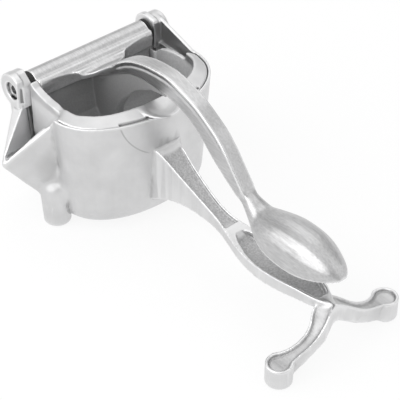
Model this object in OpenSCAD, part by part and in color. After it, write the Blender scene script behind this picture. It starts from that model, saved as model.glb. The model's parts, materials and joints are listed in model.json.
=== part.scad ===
// Hinged lemon squeezer of cast aluminium: a deep bowl with a side spout, a strainer
// that lifts out, and a lever whose press plate goes down into the strainer.
// Frame: +X runs from the hinge to the fork, +Y along the hinge, +Z up, floor at z = 0.

/* [Hinge] */
// Height of the hinge axis above the table
hinge_z = 78; // [76:0.5:80]
// Distance from the hinge axis to the centres of the fork toes
hinge_to_toe = 216.5; // [212:0.5:235]
// Radius of the two ears round the hinge
ear_r = 11; // [10.5:0.25:11.5]
// Thickness of the right ear along the hinge
ear_t = 12; // [11:0.5:14]
// Thickness of the left ear along the hinge
left_ear_t = 9.75; // [9:0.25:10.5]
// Diameter of the lever's barrel
barrel_d = 14.5; // [14:0.25:15.5]
// Length of the lever's barrel
barrel_len = 84; // [82:0.5:85]
// Thickness of the thrust washer at the right end of the barrel
washer_t = 1.5; // [1:0.1:1.8]
// Free play between each thrust washer and the barrel
washer_play = 0.3; // [0.2:0.05:0.4]
// Diameter of the hinge shaft
shaft_d = 9; // [8:0.5:9.5]
// Radial clearance of the barrel on the shaft
shaft_clearance = 0.05; // [0.03:0.01:0.08]
// Diameter of the socket screw's head
screw_head_d = 10; // [9.5:0.25:10.5]
// Height of the socket screw's head
screw_head_h = 6; // [5:0.5:6.5]
// Diameter of the socket screw's shank
screw_shank_d = 6; // [5:0.5:6]
// Depth that the screw goes into the end of the shaft
screw_grip = 10; // [8:1:16]
// Depth of the screw head below the ear's face
screw_recess = 2; // [0.5:0.25:2.5]
// Width across the flats of the screw's hexagon socket
hex_key = 5; // [4:0.5:5]

/* [Bowl] */
// Height of the bowl's rim
rim_z = 79.5; // [78:0.5:81]
// Gap between the strainer's thick left wall and the bowl, at the rim
left_gap = 3; // [2.5:0.25:3.5]
// Gap between the strainer's right wall and the bowl, at the rim
right_gap = 2; // [1.75:0.25:2.5]
// Distance from the hinge axis forward to the front of the rim
bowl_front = 76.5; // [74:0.5:78]
// Distance from the hinge axis back to the bowl's rear wall
bowl_back = 9; // [8:0.5:10]
// Draft of the bowl's wall from the rim to the bottom
bowl_draft = 5; // [4:0.5:8]
// Height of the bowl's underside above the table
bowl_lift = 4.5; // [4:0.5:8]
// Wall thickness of the casting
wall = 3.5; // [3:0.25:4]
// Radius of the rounded edge round the bowl's underside
bowl_round = 9; // [8:1:13]
// Diameter of the two pegs under the bowl, at the top
peg_d = 18.5; // [15:0.5:19]
// Distance from the hinge axis forward to the pegs
peg_x = 33; // [28:1:38]
// Distance of the left peg's centre inside the bowl's left wall
left_peg_in = 3; // [2:0.5:6]
// Distance of the right peg's centre inside the bowl's right wall
right_peg_in = 9; // [7:0.5:11]

/* [Spout] */
// Distance of the spout's tip from the middle plane
spout_reach = 78.5; // [76:0.5:82]
// Height of the spout's tip
spout_z = 47.5; // [44:0.5:50]
// Distance from the hinge axis forward to the spout's tip
spout_x = 20; // [19:0.5:24]
// Distance from the hinge axis forward to the front corner of the spout's mouth
mouth_front = 40; // [38:0.5:42]

/* [Strainer] */
// How much wider the strainer's cup is, on each side, than its narrow bay under the barrel
cup_step = 2.5; // [2:0.25:3]
// Distance from the hinge axis forward to the rear end of the strainer's side walls
strainer_back = 11.5; // [11.5:0.25:13]
// Distance from the hinge axis forward to the strainer's front wall, inside
strainer_front = 63; // [62:0.5:64]
// Wall thickness of the strainer
strainer_wall = 2.5; // [2:0.25:2.75]
// Height of the top of the strainer's floor above the table
strainer_floor_z = 35; // [32:0.5:36]
// Diameter of the juice holes in the floor
juice_hole_d = 4; // [3:0.25:4.5]
// Spacing of the juice holes
juice_hole_pitch = 8; // [7:0.5:10]
// Rise of the strainer's sloping flange above the bowl's rim
flange_rise = 2; // [1:0.25:3]
// Thickness of the strainer's raised left wall
guard_t = 5; // [4.5:0.25:5.5]
// Rise of that wall above the rim at its rear corner
guard_rise = 6; // [4:0.5:7]
// Radius of the lifting tab at the front
tab_r = 13; // [11:0.5:14]

/* [Lever] */
// Width of the arm
arm_w = 9.5; // [9:0.25:11]
// Height of the top of the arm's arch
arch_z = 108; // [107:0.5:110]
// Thickness of the press fin under the arch
fin_t = 7; // [6:0.25:8]
// Half width of the spoon grip
spoon_half_w = 15.5; // [14:0.5:17]
// Shell thickness of the spoon grip
spoon_wall = 2.5; // [2:0.25:3]

/* [Press] */
// Gap between the press apron and each side of the strainer's bay
apron_gap = 1; // [0.75:0.25:2]
// Thickness of the press apron and the press foot
press_t = 3.5; // [3:0.25:4]
// Gap between the press foot and the strainer's floor with the lever closed
press_gap = 1.5; // [1:0.25:4]
// Distance from the hinge axis forward to the front of the press foot
foot_front = 45; // [42:0.5:45]
// Gap between the press foot and the strainer's side walls
foot_gap = 4.5; // [4:0.25:6]

/* [Handle and fork] */
// Width of the raised rim round the fork's recesses
rim_w = 1.8; // [1.5:0.1:2.2]
// Width of the raised rim round the handle's recesses
handle_rim_w = 1.1; // [1:0.1:1.8]
// Depth of the long recess in the handle's top
channel_depth = 2; // [1.5:0.25:2.5]
// Depth of the oval thumb pocket
pocket_depth = 4; // [3:0.25:4.5]
// Sideways distance of each toe from the middle
toe_y = 39.5; // [38:0.5:43]
// Radius of each toe
toe_r = 7.75; // [7.5:0.25:9]
// Height of the toes
toe_h = 14; // [12:0.5:15]

/* [Hidden] */
$fn = 48;
hull_fn = 32;
eps = 0.01;
overlap = 1;

overall_length = hinge_to_toe + ear_r + toe_r;
hinge_x = ear_r - overall_length / 2;
toe_x = hinge_x + hinge_to_toe;
bowl_back_r = 4;
left_bulge = 1;
right_bulge = 0.88;
bulge_steps = 18;
ear_in = barrel_len / 2 + washer_t + washer_play;
ear_out = ear_in + ear_t;
left_ear_in = ear_out - left_ear_t;

screw_bore_depth = screw_head_h + screw_recess;
shaft_half = ear_out - screw_bore_depth - 2;

bay_gap = 0.3;
bay_half_w = ear_in - bay_gap - strainer_wall;
bay_back = 2.5;
bay_corner = 1.5;
bay_top_z = hinge_z - barrel_d / 2 - 1.5;
apron_half_w = bay_half_w - apron_gap;
strainer_half_w = bay_half_w + cup_step;
cup_side_end = 39;
cup_bulge = 0.88;

bowl_left = strainer_half_w + guard_t + left_gap + wall;
bowl_right = strainer_half_w + strainer_wall + right_gap + wall;
left_peg_y = bowl_left - left_peg_in;
right_peg_y = bowl_right - right_peg_in;

flange_t = 2.4;
flange_inset = 2;
flange_play = 0.4;

// ---------------------------------------------------------------- helpers

// Smooth value at x of a curve through stations [[x, value], ...], by Hermite pieces.
function slope(s, i) = i == 0 ? (s[1][1] - s[0][1]) / (s[1][0] - s[0][0])
    : i == len(s) - 1 ? (s[i][1] - s[i - 1][1]) / (s[i][0] - s[i - 1][0])
    : (s[i + 1][1] - s[i - 1][1]) / (s[i + 1][0] - s[i - 1][0]);
function piece(s, x) = max([for (i = [0 : len(s) - 2]) x >= s[i][0] ? i : 0]);
function hermite(s, i, t) = let (w = s[i + 1][0] - s[i][0])
    (2 * t^3 - 3 * t^2 + 1) * s[i][1] + (t^3 - 2 * t^2 + t) * w * slope(s, i)
    + (3 * t^2 - 2 * t^3) * s[i + 1][1] + (t^3 - t^2) * w * slope(s, i + 1);
function curve_at(s, x) = let (i = piece(s, x)) hermite(s, i, (x - s[i][0]) / (s[i + 1][0] - s[i][0]));
function curve(s, from, to, n) = [for (i = [0 : n]) let (x = from + (to - from) * i / n) [x, curve_at(s, x)]];
function lifted(points, rise) = [for (p = points) [p[0], p[1] + rise]];
function mirrored_y(points) = [for (i = [len(points) - 1 : -1 : 0]) [points[i][0], -points[i][1]]];

// Prism of a side view, drawn in X and Z, centred on the middle plane.
module side_prism(points, width) {
    rotate([90, 0, 0]) linear_extrude(width, center = true) polygon(points);
}

// Prism of a front view, drawn in Y and Z, from x = from to x = to.
module front_prism(points, from, to) {
    translate([from, 0, 0]) rotate([90, 0, 90]) linear_extrude(to - from) polygon(points);
}

module along_y(from, to, r) {
    translate([0, from, 0]) rotate([-90, 0, 0]) cylinder(h = to - from, r = r);
}

// Places its children at a distance forward of the hinge axis.
module ahead(distance) {
    translate([hinge_x + distance, 0, 0]) children();
}

// Brings the model from the lever's middle plane to the middle of its overall width.
module placed() {
    translate([0, (spout_reach - ear_out) / 2, 0]) children();
}

module at_hinge() {
    translate([hinge_x, 0, hinge_z]) children();
}

module left_and_right() {
    for (side = [-1, 1]) scale_y(side) children();
}

module scale_y(side) {
    if (side < 0) mirror([0, 1, 0]) children();
    else children();
}

// ---------------------------------------------------------------- bowl

// Point of a superellipse quadrant that starts on the Y axis, with the given half axes.
function bulge(from, length, half_w, a, power) =
    [from + length * pow(cos(a), power), half_w * pow(sin(a), power)];

// Half of the bowl's D-shaped outline: square at the back, a straight side, then a bulged front.
function bowl_half(inset, side, power) = let (half_w = side - inset, back = inset - bowl_back)
    concat([for (a = [0 : 15 : 75]) [back + bowl_back_r * (1 - cos(a)), half_w - bowl_back_r * (1 - sin(a))]],
           [for (i = [0 : bulge_steps]) bulge(mouth_front, bowl_front - mouth_front - inset, half_w,
                                              90 - 90 * i / bulge_steps, power)]);

module bowl_outline(inset) {
    polygon(concat(bowl_half(inset, bowl_right, right_bulge), mirrored_y(bowl_half(inset, bowl_left, left_bulge))));
}

module bowl_slab(inset, z) {
    translate([0, 0, z]) linear_extrude(eps) bowl_outline(inset);
}

// Drafted tub with a rounded lower edge, grown inwards by the given thickness.
module tub(thickness, top) {
    bottom = bowl_lift + thickness;
    hull() {
        bowl_slab(thickness, top);
        for (a = [0, 30, 60, 90])
            bowl_slab(thickness + bowl_draft + bowl_round * (1 - cos(a)),
                      bottom + bowl_round * (1 - sin(a)));
    }
}

spout_tip_r = 3;
spout_root_y = bowl_left - wall - overlap;
spout_back = 1;
spout_keel_z = 16;

module spout_knot(x, y, z, r) {
    translate([x, -y, z]) sphere(r);
}

// Solid beak between the bowl's left wall and the spout's tip.
module spout_outside() {
    $fn = hull_fn;
    hull() {
        spout_knot(spout_x, spout_reach - spout_tip_r, spout_z - 1, spout_tip_r);
        spout_knot(mouth_front - 1, spout_root_y, rim_z - 3.5, 1);
        spout_knot(spout_back, spout_root_y + 5, hinge_z - 12, 1);
        spout_knot(mouth_front - 3, spout_root_y, spout_keel_z + 8, 1);
        spout_knot(spout_back, spout_root_y - 4, spout_keel_z + 8, 1);
        spout_knot(peg_x - 4, left_peg_y + 3, spout_keel_z + 5, 4);
    }
}

// Room inside the beak, open upwards.
module spout_inside() {
    $fn = hull_fn;
    tip_y = spout_reach - spout_tip_r + 1;
    hull() {
        for (rise = [0, 40]) {
            spout_knot(spout_x, tip_y, spout_z + 3.5 + rise, 1);
            spout_knot(peg_x - 5, left_peg_y, spout_keel_z + 16 + rise, 2);
            spout_knot(mouth_front - wall, spout_root_y - 4, rim_z - 30 + rise, 1);
            spout_knot(spout_back + wall + 1, spout_root_y - 4, rim_z - 40 + rise, 1);
        }
    }
}

// ---------------------------------------------------------------- ears

cheek_t = 3.4;
cheek_front = 6.8;
lug_out = ear_out - cheek_t;
lug_bottom = -34;
lug_step = -9.5;
lug_front = 8.5;
lug_foot_front = 4.5;
lug_foot_back = -6;
cheek_foot_back = -2;
boss_r = ear_r - 1.5;
boss_start = 3.4;
ear_chamfer = 1.2;
gusset_t = 2.5;

// Side view of an ear's inner part, in X and Z from the hinge axis: round at the back, on a
// narrower foot, with the given points at its front.
function lug_side(front, back_r) = concat(
    [[lug_foot_back, lug_bottom], [lug_foot_front, lug_bottom], [lug_foot_front, lug_step], [lug_front, lug_step]],
    front,
    [for (a = [95 : 10 : 215]) [back_r * cos(a), back_r * sin(a)]]);

module lug(front, back_r, from, to) {
    at_hinge() translate([0, to, 0]) rotate([90, 0, 0]) linear_extrude(to - from) polygon(lug_side(front, back_r));
}

// Left ear, built at +Y: its outer part is round, with a flat front just past the counterbore.
module left_ear() {
    lug([[lug_front, 1.5], [7.8, 4], [6.1, 6.3], [3.8, 8.3], [1.5, 10.2]], ear_r - 0.2, left_ear_in, lug_out);
    at_hinge() {
        intersection() {
            along_y(lug_out - overlap, ear_out, ear_r);
            translate([-ear_r, 0, -ear_r]) cube([ear_r + cheek_front, ear_out, 2 * ear_r]);
        }
        translate([cheek_foot_back, lug_out - overlap, lug_bottom])
            cube([lug_foot_front - cheek_foot_back, cheek_t, -lug_bottom]);
    }
}

// Right ear: a square corner at its front, and a round boss outside.
module right_ear() {
    lug([[lug_front, 8.4], [7.6, 9.6], [6, 10.2], [2, 10.8]], ear_r, ear_in, ear_in + boss_start);
    lug([[lug_front, 7.6], [7.6, 8.6], [6, 9.2], [0, 9.2]], boss_r - 0.3, ear_in + 1, bowl_right - overlap);
    at_hinge() along_y(bowl_right - 2 * overlap, ear_out - ear_chamfer, boss_r);
    at_hinge() translate([0, ear_out - ear_chamfer, 0]) rotate([-90, 0, 0])
        cylinder(h = ear_chamfer, r1 = boss_r, r2 = boss_r - ear_chamfer);
}

// Bores of one ear at +Y: shaft seat inside, screw hole, head counterbore outside.
module ear_bores() {
    at_hinge() {
        along_y(ear_in - overlap, shaft_half, shaft_d / 2);
        along_y(shaft_half - overlap, ear_out, screw_shank_d / 2);
        along_y(ear_out - screw_bore_depth, ear_out + overlap, screw_head_d / 2 + 0.5);
    }
}

// Sloping wall from the right ear down to the front of the rim.
module right_gusset() {
    top_z = hinge_z + boss_r;
    translate([hinge_x, bowl_right, 0]) rotate([90, 0, 0]) linear_extrude(gusset_t)
        polygon([[3 - ear_r, 60], [3 - ear_r, hinge_z + 4], [0, top_z], [lug_front - 1, top_z],
                 [mouth_front - 3, rim_z], [mouth_front + 4, rim_z], [mouth_front + 4, 60]]);
}

// ---------------------------------------------------------------- lower handle and fork

handle_start = 62;
handle_hub_gap = 2;
handle_end = hinge_to_toe - handle_hub_gap;
root_ledge = 1;
channel_start = bowl_front + root_ledge;
channel_ramp = 2.5;
channel_end = 132;
pocket_start = 138;
pocket_end = handle_end - 3.5;
pocket_mid = (pocket_start + pocket_end) / 2;

handle_top = [[50, 68], [79, 53.5], [92, 46.5], [114, 37], [128, 33], [142, 31], [158, 30.5],
              [178, 32], [192, 33], [handle_end - 12.5, 32.7], [handle_end - 6.5, 32], [handle_end + 0.5, 31]];
handle_bottom = [[50, 8], [66, 15], [84, 23], [97, 26], [109, 26.5], [132, 25], [150, 23],
                 [168, 23], [184, 24.5], [handle_end - 14.5, 26], [handle_end + 3.5, 24]];
handle_half_w = [[60, 11.5], [73, 9.9], [79, 8], [92, 6.3], [114, 4.7], [126, 5], [138, 7.5], [152, 10.6],
                 [168, 12], [184, 11], [handle_end - 17.5, 8.6], [handle_end - 9.5, 6.6], [handle_end - 4.5, 4.2],
                 [handle_end + 0.5, 1.5]];

function handle_side(rise) = concat(
    [for (p = curve(handle_top, handle_start, handle_end, 30)) [p[0], p[1] + rise]],
    [for (p = curve(handle_bottom, handle_end, handle_start, 20)) p]);
function handle_plan(inset, from, to) = let (half = [for (p = curve(handle_half_w, from, to, 30)) [p[0], p[1] - inset]])
    concat(half, mirrored_y(half));

module handle_solid() {
    ahead(0) intersection() {
        side_prism(handle_side(0), 40);
        linear_extrude(rim_z) polygon(handle_plan(0, handle_start, handle_end));
    }
}

// Everything above a curve sunk below the handle's top, with a ramp at its start.
module above_handle(depth, from, ramp) {
    low = [for (p = curve(handle_top, from, handle_end, 40)) [p[0], p[1] - depth * min(1, (p[0] - from) / ramp)]];
    side_prism(concat(low, [[handle_end, rim_z + 20], [from, rim_z + 20]]), 40);
}

// Oval thumb pocket that starts in a narrow neck.
module pocket_outline() {
    half = [for (i = [0 : 24]) let (a = 180 * i / 24, x = pocket_mid - (pocket_mid - pocket_start) * cos(a))
            [x, max(0.1, (curve_at(handle_half_w, x) - handle_rim_w) * sin(a)^0.6)]];
    polygon(concat(half, mirrored_y(half)));
}

module handle_recesses() {
    ahead(0) intersection() {
        above_handle(channel_depth, channel_start, channel_ramp);
        linear_extrude(rim_z) polygon(handle_plan(handle_rim_w, channel_start, channel_end));
    }
    ahead(0) intersection() {
        above_handle(pocket_depth, pocket_start, 2 * channel_ramp);
        linear_extrude(rim_z) pocket_outline();
    }
}

leg_top = [[-60, 14], [-39.5, 14], [-34, 14.6], [-26, 17.5], [-18, 21.2], [-10, 26.5], [-5, 30], [0, 32.5],
           [5, 30], [10, 26.5], [18, 21.2], [26, 17.5], [34, 14.6], [39.5, 14], [60, 14]];
leg_bottom = [[-60, 0], [-41, 0], [-37, 0], [-32, 1.6], [-26, 4.8], [-19, 9], [-12, 13.8], [-6, 17.6], [0, 20],
              [6, 17.6], [12, 13.8], [19, 9], [26, 4.8], [32, 1.6], [37, 0], [41, 0], [60, 0]];
leg_front = [[-39.5, 6.4], [-31, 5.7], [-21, 6.3], [-11, 4.9], [0, 1.3], [11, 4.9], [21, 6.3], [31, 5.7],
             [39.5, 6.4]];
leg_rear = [[-39.5, -6.9], [-36.5, -6.5], [-29, -3.4], [-22, -2.5], [-15, -4.1], [-9, -8.5], [-5.5, -9.5], [0, -10],
            [5.5, -9.5], [9, -8.5], [15, -4.1], [22, -2.5], [29, -3.4], [36.5, -6.5], [39.5, -6.9]];
leg_draft_low = 2.6;
leg_draft_high = 7.6;
hub_wall = 0.9;

function swapped(points) = [for (p = points) [p[1], p[0]]];

// Plan of the two legs, relative to the toe line.
module leg_plan(inset) {
    reach = toe_y - 1;
    front = curve(leg_front, -reach, reach, 60);
    rear = curve(leg_rear, reach, -reach, 60);
    polygon(swapped(concat(lifted(front, -inset), lifted(rear, inset))));
}

module toes(inset, h) {
    for (side = [-1, 1]) translate([0, side * toe_y, 0]) cylinder(h = h, r = toe_r - inset);
}

// The two toes, with a bevelled edge at the table.
module toe_solids() {
    bevel = 1.2;
    for (side = [-1, 1]) translate([0, side * toe_y, 0]) {
        cylinder(h = bevel, r1 = toe_r - bevel, r2 = toe_r);
        translate([0, 0, bevel]) cylinder(h = toe_h + 2 - bevel, r = toe_r);
    }
}

module fork_solid() {
    side = concat(curve(leg_top, -toe_y - toe_r, toe_y + toe_r, 60),
                  curve(leg_bottom, toe_y + toe_r, -toe_y - toe_r, 60));
    translate([toe_x, 0, 0]) intersection() {
        front_prism(side, -30, 12);
        union() {
            intersection() {
                linear_extrude(rim_z) leg_plan(0);
                side_prism([[-30, 24], [-14, 21], [-6, -1], [leg_draft_low, -1], [leg_draft_high, 32], [-30, 32]], 2 * toe_y);
            }
            toe_solids();
        }
    }
}

// Teardrop recesses in the tops of the legs and toes.
module fork_recesses() {
    low = lifted(curve(leg_top, -toe_y - toe_r, toe_y + toe_r, 60), -channel_depth);
    translate([toe_x, 0, 0]) intersection() {
        front_prism(concat(low, [[toe_y + toe_r, rim_z], [-toe_y - toe_r, rim_z]]), -30, 12);
        union() {
            difference() {
                linear_extrude(rim_z) leg_plan(rim_w);
                translate([-30, -hub_wall, 0]) cube([60, 2 * hub_wall, rim_z]);
                translate([-30, -12, 0]) cube([21, 24, rim_z]);
            }
            toes(rim_w, rim_z);
        }
    }
}

// ---------------------------------------------------------------- base casting

peg_bevel = 1.5;
peg_draft = 1;
peg_top_z = 24;

module peg(y) {
    ahead(peg_x) translate([0, y, 0]) {
        cylinder(h = peg_bevel, r1 = peg_d / 2 - peg_draft - peg_bevel, r2 = peg_d / 2 - peg_draft);
        translate([0, 0, peg_bevel]) cylinder(h = peg_top_z - peg_bevel, r1 = peg_d / 2 - peg_draft, r2 = peg_d / 2);
        translate([0, 0, peg_top_z]) sphere(peg_d / 2);
    }
}

notch_from = 11;
notch_to = 29;
notch_in = 2;

// Strip beside the tab where the flange is cut back so that a fingertip can lift it.
module finger_notches() {
    difference() {
        left_and_right() translate([mouth_front, notch_from]) square([bowl_front, notch_to - notch_from]);
        bowl_outline(flange_inset + notch_in);
    }
}

// Rebate that the strainer's flange lies in.
module rim_rebate() {
    ahead(0) translate([0, 0, rim_z - flange_t]) linear_extrude(20) intersection() {
        bowl_outline(flange_inset - flange_play);
        translate([mouth_front - 1, -bowl_left]) square([bowl_front, 2 * bowl_left]);
    }
}

// Slope down which the bowl's rim runs into the beak.
module beak_corner() {
    apex = mouth_front + 0.6;
    ahead(0) translate([0, -bowl_left + wall + overlap, 0]) rotate([90, 0, 0]) linear_extrude(wall + 2 * overlap)
        polygon([[spout_x, 60], [apex - 6, rim_z - 8], [apex, rim_z], [apex, rim_z + 9], [spout_x, rim_z + 9]]);
}

module base_casting() {
    color("silver") difference() {
        union() {
            difference() {
                union() {
                    ahead(0) tub(0, rim_z);
                    ahead(0) spout_outside();
                    handle_solid();
                    peg(-left_peg_y);
                    peg(right_peg_y);
                }
                ahead(0) tub(wall, rim_z + 5);
                ahead(0) spout_inside();
                ahead(-bowl_back - 1) translate([0, -ear_in, 66]) cube([30, 2 * ear_in, 30]);
                ahead(-bowl_back - 1) translate([0, -bowl_left - 1, 72]) cube([30, 2 * bowl_left + 2, 30]);
                ahead(0) translate([0, 0, 72]) cube([mouth_front, bowl_right - gusset_t, 30]);
            }
            mirror([0, 1, 0]) left_ear();
            right_ear();
            right_gusset();
        }
        left_and_right() ear_bores();
        handle_recesses();
        rim_rebate();
        beak_corner();
    }
    color("silver") difference() {
        fork_solid();
        fork_recesses();
    }
}

// ---------------------------------------------------------------- strainer

// Outline of the cup in front of its bay: straight sides, then a round front.
function cup_points(grow) = concat(
    [[strainer_back - max(grow, 0), strainer_half_w + grow]],
    [for (i = [0 : bulge_steps]) bulge(cup_side_end, strainer_front - cup_side_end + grow,
                                       strainer_half_w + grow, 90 - 90 * i / bulge_steps, cup_bulge)]);

module cup_outline(grow) {
    half = cup_points(grow);
    polygon(concat(half, mirrored_y(half)));
}

// Cup that tapers to its floor, with a straight narrow bay under the barrel.
module cup(grow, low, top) {
    hull() {
        translate([0, 0, low]) linear_extrude(eps) cup_outline(grow - cup_step);
        translate([0, 0, top]) linear_extrude(eps) cup_outline(grow);
    }
    half = [[bay_back - grow, bay_half_w + grow - bay_corner], [bay_back - grow + bay_corner, bay_half_w + grow],
            [strainer_back + overlap, bay_half_w + grow]];
    translate([0, 0, low]) linear_extrude(top - low) polygon(concat(half, mirrored_y(half)));
}

flange_low_z = rim_z - flange_t;

// Sloping flange round the front, from the cup's edge down into the bowl's rebate.
module flange() {
    difference() {
        hull() {
            translate([0, 0, flange_low_z]) linear_extrude(flange_t - 0.2) intersection() {
                bowl_outline(flange_inset);
                translate([mouth_front, -bowl_left]) square([bowl_front, 2 * bowl_left]);
            }
            translate([0, 0, flange_low_z]) linear_extrude(flange_t + flange_rise) intersection() {
                cup_outline(1.5);
                translate([mouth_front - 2, -bowl_left]) square([bowl_front, 2 * bowl_left]);
            }
        }
        translate([0, 0, flange_low_z + 1]) linear_extrude(20) finger_notches();
    }
}

// Thick left side wall, turned up towards the hinge, that closes the bowl beside the beak.
module guard_wall() {
    back = strainer_back - strainer_wall;
    outer = strainer_half_w + guard_t;
    top = [[back, rim_z + guard_rise - 0.5], [back + 1, rim_z + guard_rise], [back + 4, rim_z + guard_rise - 2.4],
           [back + 9, rim_z + 2.2], [back + 16, rim_z + 1.2], [back + 26, rim_z + flange_rise - 1],
           [mouth_front + 2, rim_z + flange_rise - 1]];
    intersection() {
        side_prism(concat(top, [[mouth_front + 2, strainer_floor_z], [back, strainer_floor_z]]), 4 * outer);
        front_prism([[-outer, rim_z + 10], [-strainer_half_w, rim_z + 10],
                     [cup_step - strainer_half_w - 1, strainer_floor_z], [-strainer_half_w, strainer_floor_z],
                     [-outer, strainer_floor_z + 17]],
                    back, mouth_front + 2);
    }
}

// The right wall's top stays below the rim and dips towards the hinge.
module right_wall_cut() {
    back = strainer_back - 2 * strainer_wall;
    translate([0, strainer_half_w + strainer_wall + overlap, 0]) rotate([90, 0, 0]) linear_extrude(2 * strainer_wall)
        polygon([[back, rim_z + 9], [back, rim_z - 13], [strainer_back - 2, rim_z - 12], [15, rim_z - 7.5],
                 [19, rim_z - 5.8], [25, rim_z - 4.2], [mouth_front - 2, rim_z - 2.8], [mouth_front - 2, rim_z + 9]]);
}

// Round lip that carries the flange's slope on past the rim, dished on top.
module lifting_tab() {
    centre_x = bowl_front - 8;
    top_z = rim_z + flange_rise;
    dish_r = 30;
    tab_lift = 0.25;
    difference() {
        translate([centre_x, 0, rim_z + tab_lift]) cylinder(h = flange_rise + 1, r = tab_r);
        side_prism([[centre_x - tab_r, top_z + 0.6], [strainer_front, top_z], [centre_x + tab_r, top_z - 0.5],
                    [centre_x + tab_r, top_z + 5], [centre_x - tab_r, top_z + 5]], 3 * tab_r);
        translate([centre_x + 2, 0, top_z + dish_r - 1.7]) sphere(dish_r, $fn = 96);
    }
}

module juice_holes() {
    rows = floor((strainer_front - bay_back - 14) / juice_hole_pitch);
    columns = floor((bay_half_w - 5) / juice_hole_pitch);
    for (row = [0 : rows], column = [-columns : columns]) {
        x = bay_back + 7 + row * juice_hole_pitch;
        y = column * juice_hole_pitch;
        reach = bay_half_w - 5 - max(0, x - cup_side_end) * 0.9;
        if (abs(y) <= reach) translate([x, y, 0]) cylinder(h = strainer_floor_z + overlap, d = juice_hole_d, $fn = 24);
    }
}

module strainer_basket() {
    color("whitesmoke") ahead(0) difference() {
        union() {
            cup(strainer_wall, strainer_floor_z - strainer_wall, rim_z - 1);
            flange();
            guard_wall();
            lifting_tab();
        }
        cup(0, strainer_floor_z, rim_z - 1);
        translate([0, 0, rim_z - 1 - eps]) linear_extrude(rim_z) cup_outline(0);
        juice_holes();
        right_wall_cut();
        // the bay stays below the lever's barrel
        translate([bay_back - 2 * strainer_wall, -strainer_half_w, bay_top_z])
            cube([strainer_back - bay_back + 2 * strainer_wall, 2 * strainer_half_w, 30]);
    }
}

// ---------------------------------------------------------------- lever

arm_top = [[6, 78], [16, 80], [26, 87], [36, 94.6], [45, 100.4], [54, 104], [64, arch_z - 1.4], [82, arch_z],
           [99, 104], [107, 101], [116, 96], [123, 91.5], [131, 84], [140, 73], [148, 64], [156, 58.5], [170, 56]];
arm_bottom = [[6, 72], [16, 72], [26, 80], [36, 87], [45, 92], [54, 94.5], [64, 95.5], [82, 95],
              [93, 93], [101, 90], [110, 84], [120, 75], [131, 67], [140, 61], [148, 56], [156, 52.5], [170, 51]];
foot_side_end = 25;
arm_start = 7;
arm_end = 152;
neck_x = 148;
groove_start = 22;
groove_end = 140;
groove_drop = 2.6;
groove_h = 1.3;
groove_depth = 0.8;
spoon_end = 221;

module arm() {
    side = concat(curve(arm_top, arm_start, arm_end, 80), curve(arm_bottom, arm_end, arm_start, 80));
    groove = concat(lifted(curve(arm_top, groove_start, groove_end, 60), -groove_drop),
                    lifted(curve(arm_top, groove_end, groove_start, 60), -groove_drop - groove_h));
    difference() {
        side_prism(side, arm_w);
        left_and_right() translate([0, arm_w, 0]) side_prism(groove, arm_w + 2 * groove_depth);
    }
}

foot_z = strainer_floor_z + press_gap;
fin_points = [[6, 76], [6, foot_z + 4], [18, foot_z + 1], [38, foot_z + 2], [31, foot_z + 7], [29, foot_z + 15],
              [30.5, foot_z + 21], [33.5, 63], [37.5, 69], [41.5, 73], [45.5, 77], [49.5, 81], [55.5, 85],
              [59.5, 87], [64.5, 90], [71, 91.5], [78, 92.5], [80, 100], [40, 92], [26, 82], [16, 76]];

module fin() {
    side_prism(fin_points, fin_t);
}

apron_front_x = 8.2;
bar_front_x = 9.9;
bar_end_gap = 0.2;
bar_half_w = barrel_len / 2 - bar_end_gap;
fan_half_w = barrel_len / 2 - 0.5;

// Bar along the barrel's front and the fan of metal that gathers it into the arm, both with
// soft ridges parallel to the barrel.
module bar() {
    crest_z = hinge_z + 4.8;
    side_prism([[2, hinge_z - 6], [apron_front_x, hinge_z - 8], [bar_front_x - 0.5, hinge_z - 3],
                [bar_front_x, hinge_z + 0.5], [bar_front_x - 0.1, hinge_z + 2.4], [bar_front_x - 0.9, hinge_z + 4],
                [bar_front_x - 2.1, crest_z], [5.7, crest_z + 0.1], [3, crest_z + 0.8]], 2 * bar_half_w);
    fan = [[4, fan_half_w], [bar_front_x - 1, fan_half_w - 2.5], [bar_front_x - 0.2, 31], [10.5, 23], [12.5, 18.5],
           [15.6, 15.6], [18, 12], [21.5, 7.8], [27, 5.4], [32, 4.2]];
    half = concat([[4, fan_half_w]], curve(fan, 8, 32, 36));
    intersection() {
        linear_extrude(200) polygon(concat(half, mirrored_y(half)));
        side_prism([[4, crest_z], [bar_front_x - 2.1, crest_z], [9.2, crest_z - 0.8], [10.6, crest_z - 1.9],
                    [12, crest_z - 1.7], [13.2, crest_z - 1.6], [14.4, crest_z - 2.5], [15.4, crest_z - 3.1],
                    [17, crest_z - 2.7], [19, crest_z - 1.4], [24, crest_z + 2.4], [32, crest_z + 7.2],
                    [32, crest_z + 0.8], [24, hinge_z + 1.5], [19, hinge_z - 0.5], [14, hinge_z - 2.5],
                    [bar_front_x - 0.5, hinge_z - 6], [4, hinge_z - 6]], 2 * barrel_len);
    }
}

// Curved press: an apron that hangs from the barrel and turns forward into a foot.
module press() {
    low = foot_z;
    skin = [[4.6, 78], [4.4, 66], [5, 56], [8, low + 8], [13, low + 2.5], [20, low + 0.5], [28, low],
            [foot_front, low], [foot_front, low + press_t], [28, low + press_t], [20, low + press_t + 1],
            [15, low + press_t + 3.5], [11, low + press_t + 9], [9, 60], [apron_front_x, 70],
            [apron_front_x, 78]];
    foot_half_w = strainer_half_w - foot_gap;
    foot = concat([[0, apron_half_w], [strainer_back + 1, apron_half_w]],
        [for (i = [0 : bulge_steps]) bulge(foot_side_end, foot_front - foot_side_end, foot_half_w,
                                           90 - 90 * i / bulge_steps, 1)]);
    intersection() {
        side_prism(skin, 90);
        union() {
            linear_extrude(rim_z) polygon(concat(foot, mirrored_y(foot)));
            translate([0, -bar_half_w, bay_top_z + 1.5]) cube([20, 2 * bar_half_w, 30]);
        }
    }
}

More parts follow.
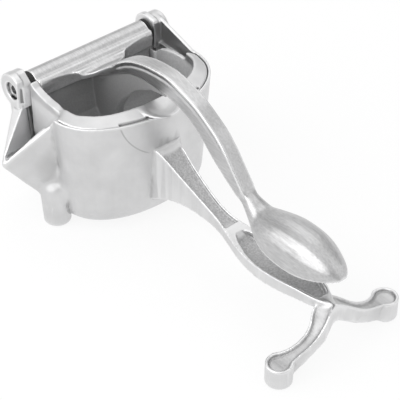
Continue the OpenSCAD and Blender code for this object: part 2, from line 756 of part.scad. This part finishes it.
spoon_top = [[146, 66], [152, 61.5], [158, 61.5], [168, 64], [178, 66.5], [188, 67.5], [198, 67], [208, 63.5],
             [216, 59], [221, 53.5]];
spoon_rim = [[146, 58], [152, 53.5], [160, 50], [170, 48], [182, 47.5], [196, 48], [208, 49.5], [221, 52.5]];
spoon_plan = [[146, 5], [152, 6.2], [158, 9], [166, 12.6], [176, 15], [188, spoon_half_w], [200, 14.4],
              [210, 11], [217, 7], [221, 2.5]];

module spoon_section(x, shrink) {
    half_w = curve_at(spoon_plan, x) - shrink;
    top = curve_at(spoon_top, x) - shrink;
    low = curve_at(spoon_rim, x);
    arch = [for (i = [0 : 12]) let (a = 180 * i / 12) [half_w * cos(a), low + (top - low) * pow(sin(a), 0.8)]];
    translate([x, 0, 0]) rotate([90, 0, 90]) linear_extrude(eps) polygon(concat(arch, [[0, low - 0.01]]));
}

module spoon_skin(shrink, from, to, steps) {
    hull() for (i = [0 : steps]) spoon_section(from + (to - from) * i / steps, shrink);
}

module spoon() {
    difference() {
        union() {
            spoon_skin(0, neck_x - 2, 158, 6);
            spoon_skin(0, 157, 178, 8);
            spoon_skin(0, 177.5, spoon_end, 18);
        }
        translate([0, 0, -1]) {
            spoon_skin(spoon_wall, 164, 178, 6);
            spoon_skin(spoon_wall, 177.5, spoon_end - spoon_wall - 1, 14);
        }
    }
}

module lever_casting() {
    color("lightgray") difference() {
        union() {
            at_hinge() along_y(-barrel_len / 2, barrel_len / 2, barrel_d / 2);
            ahead(0) {
                arm();
                fin();
                bar();
                press();
                spoon();
            }
        }
        at_hinge() along_y(-barrel_len, barrel_len, shaft_d / 2 + shaft_clearance);
    }
}

// ---------------------------------------------------------------- hinge hardware

module hinge_shaft() {
    color("gray") at_hinge() difference() {
        along_y(-shaft_half, shaft_half, shaft_d / 2);
        left_and_right() along_y(shaft_half - screw_grip - 2, shaft_half + overlap, screw_shank_d / 2);
    }
}

// Socket screw at the +Y end of the shaft.
module hinge_screw() {
    head_in = ear_out - screw_bore_depth;
    at_hinge() difference() {
        union() {
            along_y(head_in, head_in + screw_head_h, screw_head_d / 2);
            along_y(shaft_half - screw_grip, head_in + overlap, screw_shank_d / 2);
        }
        translate([0, head_in + screw_head_h - 3, 0]) rotate([-90, 0, 0]) cylinder(h = 4, d = hex_key / cos(30), $fn = 6);
    }
}

module hinge_screw_right() {
    color("lightsteelblue") hinge_screw();
}

module hinge_screw_left() {
    color("lightsteelblue") mirror([0, 1, 0]) hinge_screw();
}

// Thrust washer at the barrel's +Y end, out to the given ear face.
module thrust_washer(to) {
    from = barrel_len / 2 + washer_play;
    at_hinge() difference() {
        along_y(from, to, barrel_d / 2);
        along_y(from - overlap, to + overlap, shaft_d / 2);
    }
}

module thrust_washer_right() {
    color("black") thrust_washer(ear_in);
}

module thrust_washer_left() {
    color("black") mirror([0, 1, 0]) thrust_washer(left_ear_in);
}

placed() base_casting();
placed() strainer_basket();
placed() lever_casting();
placed() hinge_shaft();
placed() hinge_screw_left();
placed() hinge_screw_right();
placed() thrust_washer_left();
placed() thrust_washer_right();
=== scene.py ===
import json
import math

import bpy
import numpy as np
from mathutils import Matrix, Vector


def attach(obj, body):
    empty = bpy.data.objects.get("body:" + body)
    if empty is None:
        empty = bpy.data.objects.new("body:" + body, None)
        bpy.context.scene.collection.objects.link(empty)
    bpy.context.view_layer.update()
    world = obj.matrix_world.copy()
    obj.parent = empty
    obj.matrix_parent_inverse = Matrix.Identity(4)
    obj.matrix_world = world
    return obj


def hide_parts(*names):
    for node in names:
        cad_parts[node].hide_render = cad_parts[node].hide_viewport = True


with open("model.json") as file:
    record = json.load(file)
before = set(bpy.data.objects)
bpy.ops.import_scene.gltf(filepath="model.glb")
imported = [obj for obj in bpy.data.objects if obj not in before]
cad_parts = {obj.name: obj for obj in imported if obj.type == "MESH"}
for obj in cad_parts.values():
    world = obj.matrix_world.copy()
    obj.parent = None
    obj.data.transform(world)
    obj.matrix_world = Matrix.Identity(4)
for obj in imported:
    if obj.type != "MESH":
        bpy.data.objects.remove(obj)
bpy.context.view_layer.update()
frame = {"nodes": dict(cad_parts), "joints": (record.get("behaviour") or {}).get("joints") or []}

# Places on the object are given in millimetres: x forward from the hinge, y sideways from the
# arm's middle with the beak's side below 0, z up from the table.
MM = 0.001
HINGE = Vector(frame["joints"][0]["pos_m"])


# ---------------------------------------------------------------- numbers: camera, light, floor

CAMERA_FROM_HINGE = Vector((615.1, -428.4, 514.0)) * MM
CAMERA_AZIMUTH = 50.03
CAMERA_ELEVATION = 40.0
CAMERA_LENS_MM = 135.7
CAMERA_SENSOR_MM = 36.0
CAMERA_CLIP_START = 0.01

# Grey of the light tent, from straight down (0) over the horizon (0.5) to straight up (1).
TENT = ((0.0, 0.9), (0.5, 0.92), (0.57, 0.92), (0.68, 0.6), (0.82, 0.6), (0.92, 0.85), (1.0, 1.0))

# Name, place in metres, length and width in metres, watts.
LAMPS = (
    ("key", (0.1, -0.95, 0.85), (1.6, 1.2), 7.5),
    ("rim", (-0.75, -0.85, 0.65), (0.9, 0.8), 2),
    ("top", (-0.5, 0.5, 1.0), (1.2, 1.2), 2),
    ("fill", (0.8, 0.65, 0.75), (1.2, 1.2), 1.4),
)
LAMP_TARGET = (0, 0, 0.03)

FLOOR_HALF_SIZE = 3.0
FLOOR_GREY = 0.9
FLOOR_GLOW_SHARE = 0.85


# ---------------------------------------------------------------- numbers: metal

NOISE_BAND = (0.3, 0.7)
FINE_DETAIL, BROAD_DETAIL, WEAR_DETAIL = 3.0, 4.0, 2.0
WEAR_MM, WEAR_SHARE = 0.8, 0.5
ROUGH_CAST_MM, ROUGH_CAST_DETAIL, ROUGH_CAST_BAND = 1.1, 6.0, (0.35, 0.65)
ROUGHNESS_SPREAD = 0.05
# Ridge values where edges get a painted highlight in their grey and real polish in their roughness.
RIDGE_BAND = (0.18, 0.9)
# Ridge values below 0 where inside corners get a painted shade.
CORNER_SHADE_BAND = (-0.2, -0.75)
INSIDE_ROUGHNESS = 0.8
FLOOR_ROUGHNESS = 0.75
# Painted shade: a near-black grey for the bore round the left screw's head and for the faces that
# look into the bowl.
PAINTED_SHADE_GREY = 0.04
CHANNEL_TINTS = (("Red", 1.0), ("Green", 1.0), ("Blue", 1.005))
MIDDLE_HEIGHT = 0.5
BUMP_DISTANCE = 0.06 * MM

WASHER_GREY = 0.012
WASHER_ROUGHNESS = 0.6

# The mould's parting line on the bowl's front is an arc in the y-z plane.
SEAM_CENTRE = (8.0, 88.4)
SEAM_RADIUS = 39.2
SEAM_HALF_WIDTH = 0.25
SEAM_SHARE = 0.72
SEAM_BACK = 60
SEAM_LOW, SEAM_HIGH = 54.5, 79
SEAM_FADE = 2


# ---------------------------------------------------------------- numbers: castings

# Places to melt on each casting: centre, radius, passes.
BODY_MELTS = (
    ((211, 0, 30), 10, 10),       # handle's end above the fork
    ((209, 0, 28), 15, 4),
    ((217, -19, 14), 15, 2),      # legs
    ((217, 19, 14), 15, 2),
    ((222, -32, 7), 7, 16),       # toes
    ((222, 32, 7), 7, 16),
    ((72, 0, 45), 16, 8),         # handle's root
    ((40, -52, 62), 14, 5),       # beak's front fold
    ((36, -55, 30), 16, 50),      # left peg's top
    ((0, -50, 70), 12, 3),        # left ear's root
)
STRAINER_MELTS = (
    ((42, -47, 78), 12, 20),      # left wall's front end
    ((66, 0, 81), 15, 6),         # tab
    ((42, 47, 78), 10, 10),       # right wall's front end
)
LEVER_MELTS = (
    ((152, 0, 58), 14, 18),       # arm into the spoon
    ((22, 0, 82), 18, 14),        # fan into the arm
)
MELT_CORE = 0.55
VOXEL_MM = 0.5
SMOOTH_FACTOR = 0.5
BORE_RADIUS = 4.8
RIDGE_PASSES, RIDGE_SCALE, RIDGE_BLUR = 3, 0.11, 2

# Half width and top of the handle, top of the fork's legs, and the line below which the lever is
# left as cast and painted darker as shade.
HANDLE_X = (79, 92, 114, 126, 138, 152, 168, 184, 197, 205, 210, 215)
HANDLE_HALF = (8, 6.3, 4.7, 5, 7.5, 10.6, 12, 11, 8.6, 6.6, 4.2, 1.5)
HANDLE_TOP = (53.5, 46.5, 37, 33.4, 31.2, 30.5, 31, 32.5, 32.9, 32.4, 31.8, 31)
LEG_Y = (0, 5, 10, 18, 26, 34, 39.5, 60)
LEG_TOP = (32.5, 30, 26.5, 21.2, 17.5, 14.6, 14, 14)
PRESS_X = (0, 9.5, 14, 19, 24, 32, 45, 54, 64, 80, 93)
PRESS_TOP = (73, 73, 75, 77, 79, 84.5, 91.5, 94, 95, 94.5, 92)

# Middles of the hollow forms, which their inside faces look at.
BOWL_MIDDLE = (32, 0, 52)
BEAK_MIDDLE = (20, -58, 66)
CUP_MIDDLE = (32, 0, 60)

FORK_ROUGH_SHARE = 0.15
# Share taken off the painted shade on the lever's fin.
FIN_BRIGHT_SHARE = 0.15
# Painted shade on the faces that look into the bowl: the gusset's part in it, and its strength.
GUSSET_SHARE = 0.8
SHADED_FACE_SHARE = 0.4


# ---------------------------------------------------------------- shader nodes

def add_node(tree, kind, inputs=None, **settings):
    """New shader node with its settings. Each input is linked to a socket or set to a value."""
    node = tree.nodes.new("ShaderNode" + kind)
    for setting, value in settings.items():
        setattr(node, setting, value)
    for name, value in (inputs or {}).items():
        if isinstance(value, bpy.types.NodeSocket):
            tree.links.new(value, node.inputs[name])
        else:
            node.inputs[name].default_value = value
    return node


def noise(tree, size_mm, detail, vector):
    scale = 1.0 / (size_mm * MM)
    node = add_node(tree, "TexNoise", {"Scale": scale, "Detail": detail, "Vector": vector})
    return node.outputs["Fac"]


def blend(tree, a, b, factor):
    return add_node(tree, "Mix", {"A": a, "B": b, "Factor": factor}).outputs["Result"]


def multiply(tree, a, b):
    return add_node(tree, "Math", {0: a, 1: b}, operation="MULTIPLY").outputs[0]


def attribute(tree, title):
    return add_node(tree, "Attribute", attribute_name=title).outputs["Fac"]


def ramp(tree, value, low, high, out_low=0.0, out_high=1.0):
    node = add_node(tree, "MapRange", {"Value": value, "From Min": low, "From Max": high,
                                       "To Min": out_low, "To Max": out_high})
    return node.outputs[0]


def grey_colour(grey):
    return (grey, grey, grey, 1.0)


# ---------------------------------------------------------------- camera, light and floor

def make_camera():
    data = bpy.data.cameras.new("camera")
    data.lens = CAMERA_LENS_MM
    data.sensor_width = CAMERA_SENSOR_MM
    data.clip_start = CAMERA_CLIP_START
    camera = bpy.data.objects.new("camera", data)
    camera.location = HINGE + CAMERA_FROM_HINGE
    camera.rotation_euler = (math.radians(90 - CAMERA_ELEVATION), 0, math.radians(CAMERA_AZIMUTH))
    bpy.context.scene.collection.objects.link(camera)
    bpy.context.scene.camera = camera


def make_lamp(name, place, size, power):
    data = bpy.data.lights.new(name, "AREA")
    data.shape = "ELLIPSE"
    data.size, data.size_y = size
    data.energy = power
    lamp = bpy.data.objects.new(name, data)
    lamp.location = place
    aim = Vector(LAMP_TARGET) - Vector(place)
    lamp.rotation_euler = aim.to_track_quat("-Z", "Y").to_euler()
    bpy.context.scene.collection.objects.link(lamp)


def make_world():
    """Light tent: pale at the horizon and overhead, with a darker band half way up."""
    world = bpy.data.worlds.new("studio")
    bpy.context.scene.world = world
    world.use_nodes = True
    tree = world.node_tree
    tree.nodes.clear()
    coords = add_node(tree, "TexCoord")
    split = add_node(tree, "SeparateXYZ", {0: coords.outputs["Generated"]})
    height = ramp(tree, split.outputs["Z"], -1.0, 1.0)
    greys = add_node(tree, "ValToRGB", {0: height})
    greys.color_ramp.interpolation = "EASE"
    stops = greys.color_ramp.elements
    for place, _ in TENT[1:-1]:
        stops.new(place)
    for stop, (_, grey) in zip(stops, TENT):
        stop.color = grey_colour(grey)
    tent = add_node(tree, "Background", {"Color": greys.outputs[0]})
    add_node(tree, "OutputWorld", {"Surface": tent.outputs[0]})


def make_floor():
    """Pale floor: nearly white where it is seen or mirrored, and it keeps a part of the shadow."""
    size = FLOOR_HALF_SIZE
    mesh = bpy.data.meshes.new("floor")
    corners = [(-size, -size, 0), (size, -size, 0), (size, size, 0), (-size, size, 0)]
    mesh.from_pydata(corners, [], [(0, 1, 2, 3)])
    floor = bpy.data.objects.new("floor", mesh)
    bpy.context.scene.collection.objects.link(floor)
    material = bpy.data.materials.new("floor_pale")
    material.use_nodes = True
    tree = material.node_tree
    tree.nodes.clear()
    paths = add_node(tree, "LightPath")
    seen = paths.outputs["Is Camera Ray"]
    for ray in ("Is Glossy Ray", "Is Transmission Ray"):
        either = add_node(tree, "Math", {0: seen, 1: paths.outputs[ray]}, operation="MAXIMUM")
        seen = either.outputs[0]
    share = multiply(tree, seen, FLOOR_GLOW_SHARE)
    matt = add_node(tree, "BsdfDiffuse", {"Color": grey_colour(FLOOR_GREY)})
    glow = add_node(tree, "Emission", {"Color": grey_colour(1.0)})
    mix = add_node(tree, "MixShader", {0: share, 1: matt.outputs[0], 2: glow.outputs[0]})
    add_node(tree, "OutputMaterial", {"Surface": mix.outputs[0]})
    mesh.materials.append(material)


# ---------------------------------------------------------------- materials

def seam_mask(tree, point):
    """1 on the parting line and 0 off it: a ring in the y-z plane, cut to the bowl's front left."""
    flat = add_node(tree, "VectorMath", {0: point, 1: (0.0, 1.0, 1.0)}, operation="MULTIPLY")
    centre = (0.0, HINGE.y + SEAM_CENTRE[0] * MM, SEAM_CENTRE[1] * MM)
    reach = add_node(tree, "VectorMath", {0: flat.outputs[0], 1: centre}, operation="DISTANCE")
    split = add_node(tree, "SeparateXYZ", {0: point})
    radius = reach.outputs["Value"]
    x, y, z = (split.outputs[axis] for axis in "XYZ")
    middle, half = SEAM_RADIUS * MM, SEAM_HALF_WIDTH * MM
    back = HINGE.x + SEAM_BACK * MM
    mask = ramp(tree, radius, middle - 2 * half, middle - half)
    for value, none, full in (
            (radius, middle + 2 * half, middle + half),
            (x, back, back + MM),
            (y, HINGE.y, HINGE.y - SEAM_FADE * MM),
            (z, SEAM_LOW * MM, (SEAM_LOW + SEAM_FADE) * MM),
            (z, SEAM_HIGH * MM, (SEAM_HIGH - SEAM_FADE) * MM)):
        mask = multiply(tree, mask, ramp(tree, value, none, full))
    return mask


def metal(name, grey, roughness, grain_mm, grain, mottle_mm, mottle, edge_highlight_grey, edge_roughness,
          streak=(1.0, 1.0, 1.0), cast_floor_and_painted_shading_grey=None, inside_painted_light_grey=None, speckled=0.0,
          cast_spread=0.15, cast_bump=1.0, corner_shade_share=0.38, seam=False):
    """Bare metal: grain and mottling all over; polished, with a painted highlight, where the mesh's
    ridge value is high, and painted shade in its hollows; left rough as cast where its recess value
    is high, with a grey there that on the base is the cast finish, on the lever painted shade and
    in the strainer painted light; matt with painted light where its inside value is high, and
    painted shade where that is below 0."""
    material = bpy.data.materials.new(name)
    material.use_nodes = True
    tree = material.node_tree
    shader = tree.nodes["Principled BSDF"]
    shader.inputs["Metallic"].default_value = 1.0
    point = add_node(tree, "TexCoord").outputs["Object"]
    stretched = add_node(tree, "Mapping", {0: point, "Scale": streak}).outputs[0]

    fine = noise(tree, grain_mm, FINE_DETAIL, stretched)
    broad = noise(tree, mottle_mm, BROAD_DETAIL, point)
    rough_cast = noise(tree, ROUGH_CAST_MM, ROUGH_CAST_DETAIL, point)
    ridge = ramp(tree, attribute(tree, "ridge"), *RIDGE_BAND)
    corner_shade = ramp(tree, attribute(tree, "ridge"), *CORNER_SHADE_BAND)
    recess = attribute(tree, "recess")

    value = ramp(tree, broad, *NOISE_BAND, grey - mottle, grey + mottle)
    if speckled:
        worn = noise(tree, WEAR_MM, WEAR_DETAIL, stretched)
        worn = ramp(tree, worn, *NOISE_BAND, grey - speckled, grey + speckled)
        value = blend(tree, value, worn, WEAR_SHARE)
    # Painted highlight: edges get a lighter grey; their lower roughness below is real polish.
    value = blend(tree, value, edge_highlight_grey, ridge)
    rough = ramp(tree, fine, *NOISE_BAND,
                 roughness - ROUGHNESS_SPREAD, roughness + ROUGHNESS_SPREAD)
    rough = blend(tree, rough, edge_roughness, ridge)
    # Painted light: inside faces get a lighter grey than the rest, with real matt roughness.
    if inside_painted_light_grey is not None:
        inside = ramp(tree, attribute(tree, "inside"), 0.0, 1.0)
        painted_shade = ramp(tree, attribute(tree, "inside"), 0.0, -1.0)
        value = blend(tree, value, inside_painted_light_grey, inside)
        rough = blend(tree, rough, INSIDE_ROUGHNESS, inside)
        # Painted shade where the inside value is below 0.
        value = blend(tree, value, PAINTED_SHADE_GREY, painted_shade)
    # Painted shade in inside corners.
    value = blend(tree, value, grey * corner_shade_share, corner_shade)
    # Recess floors: rough as cast, with a grey of their own, which on the base is the cast finish,
    # on the lever's press painted shade and in the strainer's cup painted light.
    if cast_floor_and_painted_shading_grey is not None:
        floor = ramp(tree, rough_cast, *ROUGH_CAST_BAND,
                     cast_floor_and_painted_shading_grey * (1 - cast_spread), cast_floor_and_painted_shading_grey * (1 + cast_spread))
        value = blend(tree, value, floor, recess)
        rough = blend(tree, rough, FLOOR_ROUGHNESS, recess)
    if seam:
        value = blend(tree, value, grey * SEAM_SHARE, seam_mask(tree, point))
    colour = add_node(tree, "CombineColor", {channel: multiply(tree, value, tint)
                                             for channel, tint in CHANNEL_TINTS})
    tree.links.new(colour.outputs[0], shader.inputs["Base Color"])
    tree.links.new(rough, shader.inputs["Roughness"])

    height = blend(tree, fine, rough_cast, recess)
    height = blend(tree, MIDDLE_HEIGHT, height, ramp(tree, recess, 0.0, 1.0, grain, cast_bump))
    bump = add_node(tree, "Bump", {"Strength": 1.0, "Distance": BUMP_DISTANCE, "Height": height})
    tree.links.new(bump.outputs[0], shader.inputs["Normal"])
    return material


def make_washer_black():
    material = bpy.data.materials.new("washer_black")
    material.use_nodes = True
    shader = material.node_tree.nodes["Principled BSDF"]
    shader.inputs["Base Color"].default_value = grey_colour(WASHER_GREY)
    shader.inputs["Roughness"].default_value = WASHER_ROUGHNESS
    return material


# ---------------------------------------------------------------- mesh values

def vectors_of(elements, field):
    values = np.empty(len(elements) * 3, np.float32)
    elements.foreach_get(field, values)
    return values.reshape(-1, 3).astype(np.float64)


def points_of(mesh):
    return vectors_of(mesh.vertices, "co")


def normals_of(mesh):
    return vectors_of(mesh.vertices, "normal")


def edges_of(mesh):
    edges = np.empty(len(mesh.edges) * 2, np.int32)
    mesh.edges.foreach_get("vertices", edges)
    return edges.reshape(-1, 2)


def move_points(mesh, points):
    mesh.vertices.foreach_set("co", np.ascontiguousarray(points, np.float32).ravel())
    mesh.update()


def store(mesh, title, values):
    layer = mesh.attributes.get(title) or mesh.attributes.new(title, "FLOAT", "POINT")
    layer.data.foreach_set("value", np.ascontiguousarray(values, np.float32))


def neighbour_mean(values, edges, count):
    mean = np.empty_like(values)
    for axis in range(values.shape[1]):
        total = np.bincount(edges[:, 0], values[edges[:, 1], axis], len(values))
        total += np.bincount(edges[:, 1], values[edges[:, 0], axis], len(values))
        mean[:, axis] = total / np.maximum(count, 1)
    return mean


def rise(values, low, high):
    """0 up to low, 1 from high on, and a smooth step between them."""
    t = np.clip((values - low) / (high - low), 0, 1)
    return t * t * (3 - 2 * t)


def fall(values, low, high):
    """1 up to low, 0 from high on, and a smooth step between them."""
    return rise(-values, -high, -low)


def from_hinge(mesh):
    """Vertices in millimetres: forward of the hinge, sideways from the arm's middle, up from the
    table."""
    points = points_of(mesh) / MM
    return points[:, 0] - HINGE.x / MM, points[:, 1] - HINGE.y / MM, points[:, 2]


def facing(mesh, centre):
    """Cosine between each normal and the direction to a place on the object."""
    x, y, z = from_hinge(mesh)
    to = np.stack([centre[0] - x, centre[1] - y, centre[2] - z], 1)
    to /= np.linalg.norm(to, axis=1)[:, None]
    return (to * normals_of(mesh)).sum(1)


# ---------------------------------------------------------------- rough and matt faces

def body_recess(mesh):
    """Rough floors of the handle's channel, pocket and fork."""
    x, y, z = from_hinge(mesh)
    up = rise(normals_of(mesh)[:, 2], 0.2, 0.6)
    depth = np.interp(x, HANDLE_X, HANDLE_TOP) - z
    leg_depth = np.interp(np.abs(y), LEG_Y, LEG_TOP) - z
    within = rise(np.interp(x, HANDLE_X, HANDLE_HALF) - np.abs(y), 1.2, 2.2) * up
    channel = within * rise(depth, 0.7, 1.5) * fall(depth, 3, 4)
    channel *= rise(x, 76, 79) * fall(x, 126, 134)
    pocket = within * rise(depth, 1.5, 3) * fall(depth, 5.5, 6.5) * rise(x, 137, 141)
    fork = rise(leg_depth, 0.8, 1.6) * up * rise(x, 203, 208) * rise(z, 8, 10)
    return np.clip(channel + pocket + FORK_ROUGH_SHARE * fork, 0, 1)


def body_inside(mesh):
    """Inside of the bowl and of the beak, given a lighter grey as painted light. Below 0: painted
    shade on the faces of the right ear and its gusset that look into the bowl, and a painted shadow
    in the bore round the left screw's head."""
    x, y, z = from_hinge(mesh)
    normals = normals_of(mesh)
    # Painted light inside the bowl and the beak.
    bowl = rise(facing(mesh, BOWL_MIDDLE), 0.1, 0.45) * fall(x, 73, 75)
    bowl *= rise(z, 8, 9) * fall(z, 66, 70)
    beak = rise(facing(mesh, BEAK_MIDDLE), 0.05, 0.4) * fall(y, -46, -45) * fall(x, 39, 41)
    # Painted shade on the right ear's and its gusset's faces that look into the bowl.
    ear = rise(-normals[:, 1], 0.4, 0.9)
    gusset = rise(normals[:, 0], 0.5, 0.9)
    shaded_faces = np.maximum(ear, GUSSET_SHARE * gusset)
    shaded_faces *= rise(y, 43, 44) * rise(z, 68, 71) * rise(x, 5.5, 6.5) * fall(x, 38, 44)
    # Painted shadow in the bore round the left screw's head.
    bore = fall(np.hypot(x, z - HINGE.z / MM), 5.5, 6.0) * fall(y, -47, -46) * rise(y, -55.6, -54.8)
    return np.clip(bowl + beak, 0, 1) - np.clip(bore + SHADED_FACE_SHARE * shaded_faces, 0, 1)


def strainer_recess(mesh):
    """Inside of the cup below its rim, rough as cast and given a lighter grey as painted light."""
    z = from_hinge(mesh)[2]
    return rise(facing(mesh, CUP_MIDDLE), 0.15, 0.5) * fall(z, 72, 77)


def strainer_inside(mesh):
    """Everything below the rim, which gets a lighter grey as painted light."""
    return fall(from_hinge(mesh)[2], 74, 78)


def lever_recess(mesh):
    """Press and fin, which are left as cast and painted darker as shade."""
    x, y, z = from_hinge(mesh)
    below = rise(np.interp(x, PRESS_X, PRESS_TOP) - z, 0.0, 1.0) * fall(x, 92, 95)
    fin = fall(np.abs(y), 3.7, 4.2) * rise(x, 9.6, 10.4)
    return below * (1 - FIN_BRIGHT_SHARE * fin)


# ---------------------------------------------------------------- castings

def soften(mesh, places):
    """Melts the surface locally: places holds a centre, a radius and the number of passes."""
    edges = edges_of(mesh)
    points = points_of(mesh)
    x, y, z = from_hinge(mesh)
    for centre, radius, passes in places:
        distance = np.sqrt((x - centre[0]) ** 2 + (y - centre[1]) ** 2 + (z - centre[2]) ** 2)
        near = distance < radius
        weight = fall(distance, MELT_CORE * radius, radius)[:, None]
        local = edges[near[edges[:, 0]] & near[edges[:, 1]]]
        count = np.bincount(local.ravel(), minlength=len(points))
        weight[count < 3] = 0
        for _ in range(passes):
            points += weight * (neighbour_mean(points, local, count) - points)
    move_points(mesh, points)


def mark_ridges(mesh):
    """Stores ridge: above 0 on outside edges and below 0 in inside corners."""
    points, edges = points_of(mesh), edges_of(mesh)
    count = np.bincount(edges.ravel(), minlength=len(points))
    soft = points.copy()
    for _ in range(RIDGE_PASSES):
        soft = neighbour_mean(soft, edges, count)
    bulge = ((points - soft) * normals_of(mesh)).sum(1)[:, None] / (RIDGE_SCALE * MM)
    for _ in range(RIDGE_BLUR):
        bulge = neighbour_mean(bulge, edges, count)
    store(mesh, "ridge", np.clip(bulge[:, 0], -1, 1))


def clear_bore(mesh):
    """Holds the barrel's bore off the shaft, which the remeshed surface would graze as it turns."""
    points = points_of(mesh)
    radius = BORE_RADIUS * MM
    x, z = points[:, 0] - HINGE.x, points[:, 2] - HINGE.z
    reach = np.hypot(x, z)
    inner = reach < radius
    grow = radius / reach[inner]
    points[inner, 0] = HINGE.x + x[inner] * grow
    points[inner, 2] = HINGE.z + z[inner] * grow
    move_points(mesh, points)


def casting(node, name, body, melts, recess, inside=None, passes=3, keep=0.5):
    """Copy of a CAD node with its edges and corners rounded as a casting's are."""
    piece = bpy.data.objects.new(name, frame["nodes"][node].data.copy())
    bpy.context.scene.collection.objects.link(piece)
    remesh = piece.modifiers.new("remesh", "REMESH")
    remesh.mode = "VOXEL"
    remesh.voxel_size = VOXEL_MM * MM
    smooth = piece.modifiers.new("smooth", "SMOOTH")
    smooth.factor = SMOOTH_FACTOR
    smooth.iterations = passes
    reduce = piece.modifiers.new("reduce", "DECIMATE")
    reduce.ratio = keep
    graph = bpy.context.evaluated_depsgraph_get()
    mesh = bpy.data.meshes.new_from_object(piece.evaluated_get(graph))
    piece.modifiers.clear()
    piece.data = mesh
    mesh.name = name
    mesh.materials.clear()
    mesh.shade_smooth()
    soften(mesh, melts)
    mark_ridges(mesh)
    store(mesh, "recess", recess(mesh))
    if inside:
        store(mesh, "inside", inside(mesh))
    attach(piece, body)
    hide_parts(node)
    return piece


# ---------------------------------------------------------------- the object

def dress_castings():
    base = casting("base_casting", "base_body", "base", BODY_MELTS,
                   body_recess, body_inside, passes=3, keep=0.28)
    # Base: painted highlight on edges, painted light inside the bowl and beak, painted shade in
    # inside corners, in the left bore and on the faces that look into the bowl; its recess floors
    # keep the real cast finish.
    base.data.materials.append(metal(
        "aluminium_blasted", grey=0.68, roughness=0.44, grain_mm=0.5, grain=0.35, mottle_mm=14,
        mottle=0.04, edge_highlight_grey=0.78, edge_roughness=0.32, cast_floor_and_painted_shading_grey=0.58, inside_painted_light_grey=0.85,
        corner_shade_share=0.62, seam=True))

    strainer = casting("strainer_basket", "strainer_body", "base", STRAINER_MELTS,
                       strainer_recess, strainer_inside, passes=5)
    # Strainer: painted highlight on edges, painted shade in inside corners, painted light below the
    # rim and in the cup.
    strainer.data.materials.append(metal(
        "aluminium_bright_satin", grey=0.66, roughness=0.44, grain_mm=0.4, grain=0.25, mottle_mm=10,
        mottle=0.03, edge_highlight_grey=0.72, edge_roughness=0.32, cast_floor_and_painted_shading_grey=0.84, inside_painted_light_grey=0.8,
        cast_spread=0.04, cast_bump=0.4))

    lever = casting("lever_casting", "lever_body", "lever", LEVER_MELTS,
                    lever_recess, passes=8)
    clear_bore(lever.data)
    # Lever: painted highlight on edges, painted shade in inside corners and on the press and fin
    # below the press top.
    lever.data.materials.append(metal(
        "aluminium_polished", grey=0.54, roughness=0.34, grain_mm=0.35, grain=0.2, mottle_mm=9,
        mottle=0.06, edge_highlight_grey=0.8, edge_roughness=0.25, streak=(0.12, 1.0, 1.0), cast_floor_and_painted_shading_grey=0.42,
        speckled=0.12, cast_spread=0.06, cast_bump=0.5, corner_shade_share=0.85))


def dress_hardware():
    # Steel: painted highlight on its edges and painted shade in its inside corners.
    steel = metal("steel_turned", grey=0.55, roughness=0.25, grain_mm=0.3, grain=0.1, mottle_mm=5,
                  mottle=0.03, edge_highlight_grey=0.7, edge_roughness=0.2)
    black = make_washer_black()
    for node, material in (
            ("hinge_shaft", steel), ("hinge_screw_left", steel), ("hinge_screw_right", steel),
            ("thrust_washer_left", black), ("thrust_washer_right", black)):
        mesh = frame["nodes"][node].data
        mesh.materials.clear()
        mesh.materials.append(material)


make_camera()
make_world()
make_floor()
for lamp in LAMPS:
    make_lamp(*lamp)
dress_castings()
dress_hardware()
bpy.context.scene.view_settings.view_transform = "Standard"
